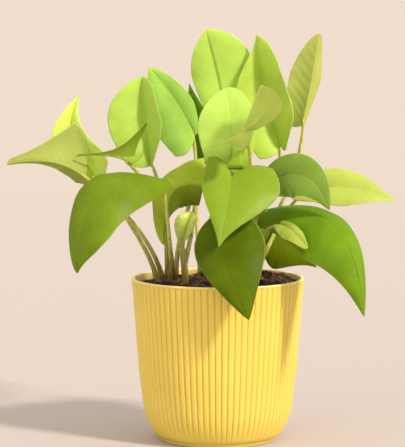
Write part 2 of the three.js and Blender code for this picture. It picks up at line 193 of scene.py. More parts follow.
def addLight(name, kind, place, power, size, colour):
    light = bpy.data.lights.new(name, kind)
    light.energy = power
    light.color = linear(colour)[:3]
    if kind == "SUN":
        light.angle = math.radians(size)
    else:
        light.shape = "DISK"
        light.size = size
    lamp = bpy.data.objects.new(name, light)
    lamp.location = place
    aim = np.array((0, 0, 0.14)) - np.array(place)
    lamp.rotation_euler = (
        math.atan2(math.hypot(aim[0], aim[1]), -aim[2]),
        0,
        math.atan2(aim[1], aim[0]) - math.pi / 2,
    )
    bpy.context.scene.collection.objects.link(lamp)


def setStage():
    camera = bpy.data.cameras.new("camera")
    camera.lens = view["lens"]
    camera.sensor_width = 36
    camera.clip_start, camera.clip_end = 0.1, 3000
    eye = bpy.data.objects.new("camera", camera)
    eye.location = view["place"]
    eye.rotation_euler = (math.radians(90 - view["down"]), 0, 0)
    bpy.context.scene.collection.objects.link(eye)
    bpy.context.scene.camera = eye
    # the key is as strong over the whole floor, so the floor keeps its tone from every side
    for name, kind in (("key", "SUN"), ("fill", "AREA")):
        addLight(name + "Light", kind, *(view[name + part] for part in ("From", "Power", "Size", "Colour")))
    world = bpy.data.worlds.new("softRoom")
    world.use_nodes = True
    room = world.node_tree.nodes["Background"]
    room.inputs["Strength"].default_value = view["roomLight"]
    # just above the horizon the room has the floor's tone, so no line shows where the floor ends
    direction = addNode(world.node_tree, "ShaderNodeTexCoord").outputs["Generated"]
    upward = addNode(world.node_tree, "ShaderNodeSeparateXYZ", {}, {0: direction}).outputs["Z"]
    band = {"From Min": 0.01, "From Max": 0.06}
    above = addNode(world.node_tree, "ShaderNodeMapRange", band, {"Value": upward})
    horizon, sky = linear(view["horizonColour"]), linear(view["roomColour"])
    shade = rampOf(world.node_tree, above.outputs["Result"], [(0.0, horizon), (1.0, sky)])
    world.node_tree.links.new(shade, room.inputs["Color"])
    bpy.context.scene.world = world
    bpy.context.scene.view_settings.view_transform = "Standard"


def floorCloth():
    # Plain pale table cloth, only faintly uneven, and a little paler with the distance.
    material, tree, shader = newMaterial("paleCloth")
    place = addNode(tree, "ShaderNodeTexCoord").outputs["Object"]
    cloud = addNode(tree, "ShaderNodeTexNoise", {"Scale": 9.0, "Detail": 3.0}, {"Vector": place})
    away = addNode(tree, "ShaderNodeVectorMath", {"operation": "LENGTH"}, {0: place}).outputs["Value"]
    uneven = addNode(tree, "ShaderNodeMath", {"operation": "MULTIPLY_ADD", 1: 0.3},
                     {0: cloud.outputs["Fac"], 2: away})
    far = addNode(tree, "ShaderNodeMapRange", {"From Min": 0.3, "From Max": 2.5},
                  {"Value": uneven.outputs[0]})
    tones = [(0.0, linear(view["floorNear"])), (1.0, linear(view["floorFar"]))]
    cloth = rampOf(tree, far.outputs["Result"], tones)
    tree.links.new(cloth, shader.inputs["Base Color"])
    shader.inputs["Roughness"].default_value = 0.85
    return material


def makeFloor():
    # a flat disc of rings, out to 2 km so that its edge lies at the horizon
    sides = 64
    radii = np.array([400, 1500, 6000, 30000, 200000, 2000000])[:, None]
    angle = np.linspace(0, 2 * np.pi, sides, endpoint=False)
    ringPoints = np.stack([radii * np.cos(angle), radii * np.sin(angle), 0 * radii * angle], -1)
    points = np.concatenate([[[0, 0, 0]], ringPoints.reshape(-1, 3)])
    rings = gridFaces(len(radii), sides, around=True, start=1)
    fan = [[0, 1 + i, 1 + (i + 1) % sides] for i in range(sides)]
    floor = meshPiece("floor", points, [face[::-1] for face in rings] + fan, floorCloth(), rides=False)


setStage()
makeFloor()
print("camera, light and floor ready")


# pot: polypropylene, injection moulded, satin

pot = {
    "colour": "E1C654",
    "cloud": "E4CC5F",
    # painted shade: the colour that the grooves are darkened towards
    "shade": "D0AC38",
    # painted highlight: the paler colour of the lip's top
    "lip": "F6E7A0",
    "ribs": 80,
    "ribDepth": 0.95,
    "pointsPerRib": 10,
    "ribShape": 4.0,        # higher gives flatter ribs with narrower grooves
    "ribsFrom": 3.2,        # height where the ribs begin, and over how much height they deepen
    "ribsDeepen": 13,
    "ribsTo": 111.5,
    "wall": 2.4,
    "floor": 3.0,
    "height": 113.0,
    "rimRadius": 60,
    "lipRound": 0.6,
    "roughness": 0.42,
}
# radius of the outer wall by height: foot, rounded shoulder, straight taper, lip
wallHeights = [0.0, 2.6, 3.4, 5, 7, 9, 12, 15, 18, 22, 30, 50, 111.2, 111.7, 113]
wallRadii = [40.5, 41.3, 42.9, 44.5, 45.8, 46.9, 48.5, 49.7, 50.7, 51.6, 52.8, 55.1, 59.8, 60.0, 60.0]


def outerRadius(z):
    return np.interp(z, wallHeights, wallRadii)


def mouldedPlastic():
    # Injection moulded polypropylene: even satin skin, slightly mottled by the mould's cooling, with
    # painted shade that darkens its colour in the grooves. IOR 1.49.
    material, tree, shader = newMaterial("mouldedPolypropylene")
    place = addNode(tree, "ShaderNodeTexCoord").outputs["Object"]
    # clouds of 35 mm
    flow = addNode(tree, "ShaderNodeTexNoise", {"Scale": 28.0, "Detail": 3.0}, {"Vector": place})
    groove = addNode(tree, "ShaderNodeAttribute", {"attribute_name": "groove"}).outputs["Fac"]
    clouds = rampOf(tree, flow.outputs["Fac"], [(0.3, linear(pot["colour"])), (0.75, linear(pot["cloud"]))])
    # painted shade: darker in the grooves, where shade falls
    paintedShade = addNode(tree, "ShaderNodeMix", {"data_type": "RGBA", 7: linear(pot["shade"])},
                   {6: clouds, 0: groove})
    # the thin lip lets light through
    # painted highlight: the lip is paler, where light catches its rounded top
    lip = addNode(tree, "ShaderNodeAttribute", {"attribute_name": "lip"}).outputs["Fac"]
    lipHighlight = addNode(tree, "ShaderNodeMix", {"data_type": "RGBA", 7: linear(pot["lip"])},
                    {6: paintedShade.outputs[2], 0: lip})
    tree.links.new(lipHighlight.outputs[2], shader.inputs["Base Color"])
    # spark texture of 0.7 mm
    skin = addNode(tree, "ShaderNodeTexNoise", {"Scale": 1400.0, "Detail": 2.0}, {"Vector": place})
    grain = addNode(tree, "ShaderNodeBump", {"Strength": 0.06, "Distance": 0.0002},
                    {"Height": skin.outputs["Fac"]})
    tree.links.new(grain.outputs["Normal"], shader.inputs["Normal"])
    smoothest, roughest = pot["roughness"] - 0.05, pot["roughness"] + 0.07
    rough = addNode(tree, "ShaderNodeMapRange", {"To Min": smoothest, "To Max": roughest},
                    {"Value": flow.outputs["Fac"]})
    tree.links.new(rough.outputs["Result"], shader.inputs["Roughness"])
    shader.inputs["IOR"].default_value = 1.49
    shader.inputs["Subsurface Weight"].default_value = 0.2
    shader.inputs["Subsurface Radius"].default_value = (1.0, 0.7, 0.2)
    shader.inputs["Subsurface Scale"].default_value = 0.003
    return material


def makePot():
    # Outer rings follow the wall's profile; each rib is a crown whose radius dips by depth times
    # the distance from the rib's middle to a power. Then over the rounded lip and down the inner wall.
    count = pot["ribs"] * pot["pointsPerRib"]
    turn = np.arange(count) / count
    share = (turn * pot["ribs"] + 0.5) % 1.0            # 0.5 on the crown of a rib
    dip = np.abs(2 * share - 1) ** pot["ribShape"]
    lip = pot["lipRound"]
    heights = np.concatenate([
        [0, 0, 0.5, 1.6, 2.6, 3.0, 3.4], np.arange(4.2, 22, 0.9), np.linspace(22, 110, 26),
        [110.8, 111.2, 111.45, 111.7, 112.0],
    ])
    radii = outerRadius(heights) - np.concatenate([[1.0, 0.45], np.zeros(len(heights) - 2)])
    heights[1] = 0.12
    deepening = np.clip((heights - pot["ribsFrom"]) / pot["ribsDeepen"], 0, 1) ** 0.8
    ending = np.clip((pot["ribsTo"] - heights) / 0.5, 0, 1)
    depth = pot["ribDepth"] * deepening * ending
    angleOver = np.linspace(0, np.pi / 2, 5)
    overHeights = pot["height"] - lip + lip * np.sin(angleOver)
    overRadii = pot["rimRadius"] - lip + lip * np.cos(angleOver)
    inner = pot["rimRadius"] - pot["wall"]
    backHeights = pot["height"] - lip + lip * np.cos(angleOver)
    backRadii = inner + lip - lip * np.sin(angleOver)
    downHeights = np.array([108.0, 100, 50, 22, 12, pot["floor"] + 0.4, pot["floor"]])
    downRadii = outerRadius(downHeights) - pot["wall"]
    downRadii[-1] -= 0.8
    allHeights = np.concatenate([heights, overHeights, backHeights[1:], downHeights])
    allRadii = np.concatenate([radii, overRadii, backRadii[1:], downRadii])
    allDepths = np.concatenate([depth, np.zeros(len(allHeights) - len(depth))])
    radius = allRadii[:, None] - allDepths[:, None] * dip[None, :]
    angle = 2 * np.pi * turn
    upright = np.broadcast_to(allHeights[:, None], radius.shape)
    points = np.stack([radius * np.cos(angle), radius * np.sin(angle), upright], -1)
    rows = len(allHeights)
    faces = gridFaces(rows, count, around=True)
    bottom, inside = rows * count, rows * count + 1
    faces += [[bottom, (i + 1) % count, i] for i in range(count)]
    last = (rows - 1) * count
    faces += [[inside, last + i, last + (i + 1) % count] for i in range(count)]
    points = np.concatenate([points.reshape(-1, 3), [[0, 0, 0], [0, 0, pot["floor"]]]])
    # painted shade mask, strongest in the middle of each groove
    groove = np.concatenate([(allDepths[:, None] / pot["ribDepth"] * dip[None, :] ** 2).ravel(), [0, 0]])
    # painted highlight mask on the top 0.8 mm of the lip
    lipHighlightMap = np.clip((points[:, 2] - (pot["height"] - 0.8)) / 0.3, 0, 1) * 0.8
    maps = {"groove": groove, "lip": lipHighlightMap}
    piece = meshPiece("ribbedPot", points, faces, mouldedPlastic(), maps=maps)
    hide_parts("pot")


makePot()
print("pot ready")


# potting mix

mix = {
    "level": 108.4,
    "lumpHeight": 0.66,
    "lumpLengths": (15, 17, 33, 12.3),
    "heapAt": (34, 26),
    "heapHeight": 3.6,
    "heapSpread": 20,
    "underside": 3.6,
    "chips": 620,
    "fibres": 260,
    "stemGap": 4.5,         # mm that chips and fibres keep from a stem's middle
    "dark": "120A06",
    "middle": "22120A",
    "brown": "3C2212",
    "chipDark": "1C110A",
    "chipBrown": "6E4022",
    "chipPale": "B98150",
}
stemFeet = [(-41, 4), (-34, 8), (-29, 3), (-22, -6), (-12, 22), (3, -22), (16, 26), (24, -4)]


def soilHeight(x, y):
    # the solid's own lumps and heap: two crossed waves on a bed that rises to the back right
    k1, k2, k3, k4 = 2 * np.pi / np.array(mix["lumpLengths"])
    lumps = np.sin(k1 * x + 1.3) * np.cos(k2 * y + 0.4) + 0.6 * np.sin(k3 * x - k4 * y)
    away = np.hypot(x - mix["heapAt"][0], y - mix["heapAt"][1]) / mix["heapSpread"]
    return mix["level"] + mix["lumpHeight"] * lumps + mix["heapHeight"] * np.exp(-away ** 2)


def crumbs(x, y):
    # finer lumps on top of the solid's
    coarse, middling, fine = valueNoise(x, y, 4.0, 11), valueNoise(x, y, 1.9, 12), valueNoise(x, y, 0.9, 13)
    return 0.7 * coarse + 0.45 * middling + 0.22 * fine


def pottingMix():
    # Moist peat with bark and coir: nearly black brown, matt, with damp glints between the crumbs.
    material, tree, shader = newMaterial("moistPottingMix")
    place = addNode(tree, "ShaderNodeTexCoord").outputs["Object"]
    clods = addNode(tree, "ShaderNodeTexNoise", {"Scale": 420.0, "Detail": 6.0, "Roughness": 0.65},
                    {"Vector": place})
    tones = [(0.30, linear(mix["dark"])), (0.56, linear(mix["middle"])), (0.72, linear(mix["brown"]))]
    tree.links.new(rampOf(tree, clods.outputs["Fac"], tones), shader.inputs["Base Color"])
    bump = addNode(tree, "ShaderNodeBump", {"Strength": 0.9, "Distance": 0.0012},
                   {"Height": clods.outputs["Fac"]})
    tree.links.new(bump.outputs["Normal"], shader.inputs["Normal"])
    damp = addNode(tree, "ShaderNodeMapRange", {"To Min": 0.55, "To Max": 0.98},
                   {"Value": clods.outputs["Fac"]})
    tree.links.new(damp.outputs["Result"], shader.inputs["Roughness"])
    return material


def barkSkin():
    # Shredded bark and coir husk: fibrous, from near black to tan. Each bit has its own tone.
    material, tree, shader = newMaterial("shreddedBark")
    place = addNode(tree, "ShaderNodeTexCoord").outputs["Object"]
    tone = addNode(tree, "ShaderNodeAttribute", {"attribute_name": "tone"}).outputs["Fac"]
    fibre = addNode(tree, "ShaderNodeTexNoise", {"Scale": 1500.0, "Detail": 3.0}, {"Vector": place})
    both = addNode(tree, "ShaderNodeMath", {"operation": "MULTIPLY_ADD", 1: 0.35},
                   {0: fibre.outputs["Fac"], 2: tone})
    dark, brown, pale = linear(mix["chipDark"]), linear(mix["chipBrown"]), linear(mix["chipPale"])
    tones = [(0.15, dark), (0.75, brown), (1.0, pale)]
    tree.links.new(rampOf(tree, both.outputs[0], tones), shader.inputs["Base Color"])
    bump = addNode(tree, "ShaderNodeBump", {"Strength": 0.5, "Distance": 0.0004},
                   {"Height": fibre.outputs["Fac"]})
    tree.links.new(bump.outputs["Normal"], shader.inputs["Normal"])
    shader.inputs["Roughness"].default_value = 0.78
    return material


def makeSoil():
    # a round bed: rings from its middle out to the wall, then down inside the pot
    sides = 240
    angle = np.linspace(0, 2 * np.pi, sides, endpoint=False)
    radii = np.linspace(0.6, 56.3, 84)
    x, y = radii[:, None] * np.cos(angle), radii[:, None] * np.sin(angle)
    settle = np.clip((radii - 54.0) / 2.3, 0, 1)[:, None] ** 2
    top = soilHeight(x, y) + crumbs(x, y) - 0.9 * settle
    bed = np.stack([x, y, top], -1)[::-1]
    sideHeights = np.array([104.0, 80, 50, 22, 12, mix["underside"]])[:, None]
    sideRadii = outerRadius(sideHeights) - pot["wall"] - 0.4
    upright = np.broadcast_to(sideHeights, (len(sideHeights), sides))
    wall = np.stack([sideRadii * np.cos(angle), sideRadii * np.sin(angle), upright], -1)
    points = np.concatenate([wall[::-1], bed])
    rows = len(points)
    faces = gridFaces(rows, sides, around=True)
    middle, under = rows * sides, rows * sides + 1
    last = (rows - 1) * sides
    faces += [[middle, last + i, last + (i + 1) % sides] for i in range(sides)]
    faces += [[under, (i + 1) % sides, i] for i in range(sides)]
    ends = [[0, 0, float(soilHeight(0, 0) + crumbs(0, 0))], [0, 0, mix["underside"]]]
    points = np.concatenate([points.reshape(-1, 3), ends])
    piece = meshPiece("pottingMixBed", points, faces, pottingMix())
    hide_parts("soil")


def scatterPlaces(random, count, reach):
    # random places on the bed that keep clear of the stems, denser on the heap at the back right
    spots = random.uniform(-reach, reach, (count * 6, 2))
    inside = np.hypot(*spots.T) < reach
    feet = np.array(stemFeet, float)
    nearest = np.hypot(spots[:, None, 0] - feet[:, 0], spots[:, None, 1] - feet[:, 1]).min(1)
    clear = nearest > mix["stemGap"]
    heap = np.exp(-((spots[:, 0] - mix["heapAt"][0]) ** 2 + (spots[:, 1] - mix["heapAt"][1]) ** 2) / 700)
    wanted = random.uniform(0, 1, len(spots)) < 0.45 + 0.55 * heap
    return spots[inside & clear & wanted][:count]


def turns(random, count, tilt):
    # random turns: any direction on the flat, tilted by up to tilt radians
    a = random.uniform(0, 2 * np.pi, count)
    b = random.uniform(-tilt, tilt, count)
    c = random.uniform(-tilt, tilt, count)
    zero, one = np.zeros(count), np.ones(count)
    spin = np.array([[np.cos(a), -np.sin(a), zero], [np.sin(a), np.cos(a), zero], [zero, zero, one]])
    nod = np.array([[np.cos(b), zero, np.sin(b)], [zero, one, zero], [-np.sin(b), zero, np.cos(b)]])
    roll = np.array([[one, zero, zero], [zero, np.cos(c), -np.sin(c)], [zero, np.sin(c), np.cos(c)]])
    return spin.transpose(2, 0, 1) @ nod.transpose(2, 0, 1) @ roll.transpose(2, 0, 1)


def makeChips():
    # Each chip is a flat rounded flake: rings of 8 points, its outline and thickness roughened,
    # bent along its length, then turned and laid on the bed.
    random = np.random.default_rng(5)
    spots = scatterPlaces(random, mix["chips"], 54)
    count = len(spots)
    rows, sides = 5, 8
    t = np.linspace(-1, 1, rows)
    angle = np.linspace(0, 2 * np.pi, sides, endpoint=False)
    swell = (1 - np.abs(t) ** 2.5) * 0.9 + 0.1
    # half length, half width and half thickness of each chip, in mm
    ranges = ((1.2, 3.6), (0.5, 1.5), (0.25, 0.7))
    size = np.stack([random.uniform(low, high, count) for low, high in ranges], -1)
    local = np.stack([
        np.broadcast_to(t[:, None], (rows, sides)),
        swell[:, None] * np.sign(np.cos(angle)) * np.abs(np.cos(angle)) ** 0.7,
        swell[:, None] * np.sign(np.sin(angle)) * np.abs(np.sin(angle)) ** 0.7], -1).reshape(-1, 3)
    rough = 1 + random.uniform(-0.28, 0.28, (count, rows * sides, 3))
    flakes = local[None] * rough * size[:, None, :]
    bend = random.uniform(-0.12, 0.12, count)
    flakes[..., 2] += bend[:, None] * flakes[..., 0] ** 2
    flakes = flakes @ turns(random, count, 0.55).transpose(0, 2, 1)
    ground = soilHeight(spots[:, 0], spots[:, 1]) + crumbs(spots[:, 0], spots[:, 1])
    lift = random.uniform(0.0, 0.8, count)
    flakes += np.stack([spots[:, 0], spots[:, 1], ground + lift], -1)[:, None, :]
    firstEnd = flakes[:, :sides].mean(1, keepdims=True)
    lastEnd = flakes[:, -sides:].mean(1, keepdims=True)
    flakes = np.concatenate([flakes, firstEnd, lastEnd], 1)
    each = rows * sides + 2
    one = gridFaces(rows, sides, around=True)
    one += [[rows * sides, (i + 1) % sides, i] for i in range(sides)]
    last = (rows - 1) * sides
    one += [[rows * sides + 1, last + i, last + (i + 1) % sides] for i in range(sides)]
    faces = [[corner + each * k for corner in face] for k in range(count) for face in one]
    tone = np.repeat(random.uniform(0, 1, count) ** 2.2 * 0.8, each)
    far = np.hypot(*flakes.reshape(-1, 3)[:, :2].T)
    flat = flakes.reshape(-1, 3)
    flat[:, :2] *= np.minimum(1, 56.4 / far)[:, None]
    piece = meshPiece("barkChips", flat, faces, barkSkin(), maps={"tone": tone})
    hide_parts("soil")


def makeFibres():
    # coir: thin curls, each a tube of 5 sides along a short bent path
    random = np.random.default_rng(8)
    spots = scatterPlaces(random, mix["fibres"], 52)
    points, faces, tones = [], [], []
    t = np.linspace(-1, 1, 9)
    for x, y in spots:
        length, curl = random.uniform(2.5, 7), random.uniform(-1.2, 1.2)
        heading = random.uniform(0, 2 * np.pi)
        along = length * t
        side = curl * length * 0.3 * t ** 2
        px = x + along * np.cos(heading) - side * np.sin(heading)
        py = y + along * np.sin(heading) + side * np.cos(heading)
        inward = np.minimum(1, 55.5 / np.hypot(px, py))
        px, py = px * inward, py * inward
        rise = random.uniform(0.2, 1.6) * (1 - t ** 2) + random.uniform(-0.3, 0.5)
        path = np.stack([px, py, soilHeight(px, py) + crumbs(px, py) + rise], -1)
        p, f = tube(path, 0.09 + 0.1 * (1 - t ** 2), 5, start=sum(len(q) for q in points))
        points.append(p)
        faces += f
        tones.append(np.full(len(p), random.uniform(0.05, 0.75)))
    piece = meshPiece("coirFibres", np.concatenate(points), faces, bpy.data.materials["shreddedBark"],
                      maps={"tone": np.concatenate(tones)})
    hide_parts("soil")


makeSoil()
makeChips()
makeFibres()
print("potting mix ready")


# the plant

# midrib: control points of its curve from the blade's base to its tip, in mm, as in the solids.
# left, right: from the midrib to the edges at the widest place, seen on the upper face with the tip ahead.
# stalk: the stalk's first three control points. upper, under: the colours of the blade's two faces.
bladeDefaults = {
    "widest": 0.36,
    "baseWidth": (0.62, 0.62),
    "taper": (1.35, 1.35),
    "roundness": 1.7,
    "lobe": (0.2, 0.2),
    "follow": 1,
    "cup": 0.1,
    "wave": 0.8,
    "waves": 1.5,
    "tipWidth": 0.035,
    "fold": 6,              # mm over which the two halves round into each other at the midrib
    "upper": "A9D437",
    "under": "B5CC62",
    "gloss": 0.42,
    "shine": 0.35,
    "glow": 0.30,
    "veins": 9,
    "veinTone": 0.07,
    "relief": 0.25,
    "mottle": 0.10,
    "paintedShadeLeft": 0.0,        # painted shade: how much darker the left half is made, as where it lies in shade
}
cuttings = [
    {"node": "cutting_far_left", "slot": "leaf_lime", "foot": (-41, 4), "top": (-42, 4, 117), "leaves": [
        {"name": "leafFarLeftUpright", "stalk": [(-43, 4, 113), (-48, 6, 134), (-72, 6, 166)],
         "midrib": [(-86, -2, 184), (-94, -3, 200), (-109, -4, 218), (-94, -6, 241)],
         "left": (-17, -8, -4), "right": (17, -16, -2), "baseWidth": (0.6, 0.35), "taper": (1.5, 1.5),
         "lobe": (0.05, 0.05), "upper": "DFF76E", "under": "B6C65A", "fold": 1},
        {"name": "leafReachingLeft", "stalk": [(-39, 3, 113), (-43, -2, 134), (-64, -12, 164)],
         "midrib": [(-90, -28, 184), (-99, -33, 192), (-117, -37, 200), (-143, -35, 194)],
         "left": (-2, 14, 31), "right": (-1, 10, -7), "widest": 0.2, "baseWidth": (0.55, 0.55),
         "taper": (1.6, 1.6), "roundness": 1, "lobe": (0.06, 0.04), "follow": 0.3, "tipWidth": 0.1,
         "upper": "B4D848", "under": "A4AE51", "fold": 3},
    ]},
    {"node": "cutting_left", "slot": "leaf_lime", "foot": (-34, 8), "top": (-35, 8, 116), "leaves": [
        {"name": "leafLeftUpright", "stalk": [(-35, 8, 112), (-36, 8, 144), (-36, 2, 172)],
         "midrib": [(-47, 2, 190), (-48, 4, 208), (-53, 4, 233), (-52, 2, 252)],
         "left": (-25, -6, 3), "right": (10, -14, 5), "widest": 0.45, "baseWidth": (0.62, 0.1),
         "taper": (0.95, 0.5), "roundness": 2, "lobe": (0.04, 0), "upper": "BBDB5C", "under": "AFCB52",
         "fold": 1},
        {"name": "leafSmallLongTip", "stalk": [(-35, 8, 112), (-32, 12, 144), (-48, 4, 182)],
         "midrib": [(-59, -22, 193), (-68, -26, 198), (-82, -30, 200), (-97, -28, 198)],
         "left": (11, -4, 28), "right": (3, 8, 19), "widest": 0.03, "baseWidth": (0.9, 0.9),
         "taper": (3.6, 3.6), "roundness": 1, "lobe": (0, 0.15), "follow": 0, "tipWidth": 0.08,
         "upper": "A6C448", "under": "869E1F", "fold": 1},
    ]},
    {"node": "cutting_left_front", "slot": "leaf_green", "foot": (-29, 3), "top": (-30, 2, 117), "leaves": [
        {"name": "leafHangingLeft", "stalk": [(-30, 1, 113), (-33, -26, 130), (-34, -38, 162)],
         "midrib": [(-33, -25, 181), (-56, -36, 184), (-90, -60, 202), (-94, -62, 123)],
         "left": (10, -19, -23), "right": (-10, 10, 4), "widest": 0.6, "baseWidth": (0.15, 0.3),
         "taper": (1.3, 0.5), "roundness": 2.5, "lobe": (0, 0), "follow": 0.25, "upper": "789319",
         "under": "8DB03E", "shine": 0.2, "mottle": 0.16},
        {"name": "leafCurledCentre", "stalk": [(-29, 2, 113), (-30, 4, 146), (-9, 0, 190)],
         "midrib": [(-10, -14, 178), (-34, -18, 184), (-36, -20, 167), (-37, -24, 138)],
         "left": (4, 17, -14), "right": (-6, 10, 10), "widest": 0.35, "baseWidth": (0.9, 1.6),
         "taper": (3, 0.4), "roundness": 1.8, "lobe": (0, 0), "follow": 0.6, "upper": "B9CC3A",
         "under": "8A9E2C", "shine": 0.2, "fold": 2.5, "paintedShadeLeft": 0.45},
    ]},
    {"node": "cutting_with_new_leaf", "slot": "leaf_lime", "foot": (-22, -6), "top": (-25, -7, 136),
     "leaves": [
        {"name": "leafGlossyUpperLeft", "stalk": [(-23, -6, 124), (-16, 2, 146), (-12, 10, 187)],
         "midrib": [(-16, 10, 211), (-21, 12, 223), (-33, 12, 244), (-48, 8, 258)],
         "left": (-17, -2, -16), "right": (8, -2, 6), "widest": 0.5, "baseWidth": (0.75, 0.15),
         "taper": (1, 0.8), "lobe": (0.14, 0), "upper": "B3DF61", "under": "93BE4E", "gloss": 0.24,
         "fold": 3, "mottle": 0.14},
        {"name": "leafNewHalfRolled", "stalk": [(-25, -6, 133), (-25, -7, 135), (-24, -8, 136)],
         "midrib": [(-24, -8, 138), (-22, -10, 145), (-20, -11, 152), (-17, -10, 159)],
         "left": (-9, -4, 3), "right": (4, -6, 1), "widest": 0.7, "baseWidth": (0.15, 0.15),
         "taper": (0.5, 0.5), "cup": 0.25, "upper": "E7F782", "under": "C0C478", "gloss": 0.2, "shine": 0.8,
         "fold": 1},
    ]},
    {"node": "cutting_back", "slot": "leaf_lime", "foot": (-12, 22), "top": (-11, 22, 117), "leaves": [
        {"name": "leafTallest", "stalk": [(-12, 22, 113), (-9, 24, 140), (4, 14, 180)],
         "midrib": [(6, 20, 213), (5, 24, 237), (0, 24, 262), (-8, 16, 284)],
         "left": (-19, -2, 3), "right": (21, -3, 15), "widest": 0.5, "baseWidth": (0.3, 0.6),
         "taper": (0.9, 0.9), "upper": "C5E863", "under": "A9CC52", "fold": 14},
        {"name": "leafShadedBehind", "stalk": [(-12, 23, 113), (-14, 34, 140), (-18, 40, 167)],
         "midrib": [(-10, 42, 193), (-12, 46, 209), (-17, 46, 229), (-20, 44, 246)],
         "left": (-8, -2, 4), "right": (11, 4, -3), "upper": "6A961A", "under": "86A83C", "shine": 0.1},
        {"name": "leafBrightCentre", "stalk": [(-11, 21, 113), (-3, 6, 142), (12, -14, 172)],
         "midrib": [(9, -24, 191), (10, -28, 210), (9, -28, 229), (5, -24, 245)],
         "left": (-22, -4, 0), "right": (16, -4, 4), "widest": 0.5, "taper": (0.75, 0.6),
         "upper": "C6EB67", "under": "B5D75C", "fold": 10},
    ]},
    {"node": "cutting_front", "slot": "leaf_green", "foot": (3, -22), "top": (2, -24, 117), "leaves": [
        {"name": "leafHeart", "stalk": [(2, -23, 113), (4, -18, 146), (9, -30, 174)],
         "midrib": [(9, -48, 187), (7, -62, 176), (4, -76, 157), (0, -84, 143)],
         "left": (33, 2, 3), "right": (-17, 4, 9), "baseWidth": (0.8, 0.95), "taper": (2.2, 1.6),
         "lobe": (0.1, 0.15), "upper": "88A61F", "under": "9DB548"},
        {"name": "leafOverRim", "stalk": [(2, -23, 113), (-1, -24, 143), (-7, -34, 167)],
         "midrib": [(-4, -44, 158), (-3, -56, 146), (4, -76, 127), (20, -80, 94)],
         "left": (29, 6, 7), "right": (-16, 4, -4), "widest": 0.45, "baseWidth": (0.72, 0.1),
         "taper": (1, 1), "lobe": (0.06, 0), "upper": "5D730A", "under": "8CA83C", "shine": 0.08,
         "mottle": 0.2},
        {"name": "leafSmallInner", "stalk": [(3, -22, 113), (14, -18, 138), (20, -22, 165)],
         "midrib": [(20, -33, 189), (15, -34, 190), (9, -35, 191), (3, -36, 191)],
         "left": (1, -6, -4), "right": (-1, 3, 14), "widest": 0.15, "baseWidth": (0.8, 0.9),
         "taper": (1.2, 1.2), "roundness": 1.2, "lobe": (0, 0), "upper": "94B02B", "under": "86A83C",
         "shine": 0.2},
    ]},
    {"node": "cutting_back_right", "slot": "leaf_lime", "foot": (16, 26), "top": (17, 28, 118), "leaves": [
        {"name": "leafPointedBack", "stalk": [(17, 27, 114), (20, 44, 140), (51, 34, 176)],
         "midrib": [(44, 14, 203), (37, 18, 221), (29, 18, 251), (27, 12, 281)],
         "left": (-21, -6, -6), "right": (14, -18, 5), "baseWidth": (0.75, 0.2), "taper": (2.2, 0.62),
         "roundness": 3, "lobe": (0.06, 0.05), "upper": "C7E457", "under": "A8C452", "fold": 1},
        {"name": "leafNarrowFolded", "stalk": [(17, 27, 114), (32, 44, 134), (60, 34, 178)],
         "midrib": [(59, 26, 217), (63, 22, 232), (68, 20, 258), (71, 22, 281)],
         "left": (6, 9, 3), "right": (-15, 4, 3), "widest": 0.55, "baseWidth": (0.4, 0.7),
         "taper": (0.5, 0.65), "roundness": 1.5, "lobe": (0.05, 0.05), "upper": "A8C64A",
         "under": "C4CB69", "relief": 0.6, "veinTone": 0.2, "fold": 1},
        {"name": "leafLowShaded", "stalk": [(17, 27, 114), (23, 22, 133), (26, 20, 151)],
         "midrib": [(31, 14, 146), (38, 16, 146), (56, 14, 137), (69, 8, 119)],
         "left": (6, 6, 10), "right": (-3, -4, -24), "upper": "6D800A", "under": "7A8A1E", "shine": 0.08},
    ]},
    {"node": "cutting_right", "slot": "leaf_green", "foot": (24, -4), "top": (25, -6, 118), "leaves": [
        {"name": "leafHighForeground", "stalk": [(25, -6, 114), (20, -20, 146), (26, -22, 193)],
         "midrib": [(22, -62, 218), (12, -70, 219), (5, -90, 214), (-4, -103, 210)],
         "left": (-2, -8, -12), "right": (3, 4, 29), "widest": 0.12, "baseWidth": (0.9, 0.9),
         "taper": (2.2, 15), "roundness": 1.2, "lobe": (0.02, 0.42), "upper": "99A847", "under": "A8AE50",
         "shine": 0.1, "relief": 0},
        {"name": "leafRoundRight", "stalk": [(25, -6, 114), (25, -20, 142), (23, -24, 170)],
         "midrib": [(34, -28, 179), (48, -34, 190), (64, -44, 193), (75, -46, 164)],
         "left": (2, 5, 14), "right": (-1, -8, -14), "widest": 0.4, "taper": (1.1, 1),
         "lobe": (0.08, 0.08), "upper": "81A138", "under": "8CA83C", "shine": 0.25, "mottle": 0.14},
        {"name": "leafFarRight", "stalk": [(25, -5, 114), (38, 14, 136), (49, 16, 171)],
         "midrib": [(63, 10, 173), (82, 6, 176), (106, 2, 174), (124, 2, 166)],
         "left": (1, 6, 13), "right": (0, -14, -10), "taper": (1.7, 1.3), "upper": "BFD05B",
         "under": "B7CC50", "fold": 4},
        {"name": "leafHangingRight", "stalk": [(25, -6, 114), (28, -4, 136), (24, -8, 158)],
         "midrib": [(31, -14, 160), (55, -28, 165), (91, -58, 173), (96.5, -78, 96)],
         "left": (7, 13, 3), "right": (-14, -9, -25), "widest": 0.52, "baseWidth": (0.3, 0.38),
         "taper": (1, 1.1), "lobe": (0.04, 0.04), "upper": "779C19", "under": "8DAE40", "shine": 0.12,
         "mottle": 0.17},
        {"name": "leafSmallTucked", "stalk": [(25, -7, 114), (28, -18, 136), (26, -30, 154)],
         "midrib": [(42, -42, 154), (49, -52, 152), (55, -60, 147), (59, -66, 140)],
         "left": (4, -2, 2), "right": (-5, -3, -4), "widest": 0.3, "taper": (0.9, 0.9),
         "lobe": (0.05, 0.05), "tipWidth": 0.15, "upper": "B8C853", "under": "B5C35C"},
    ]},
]


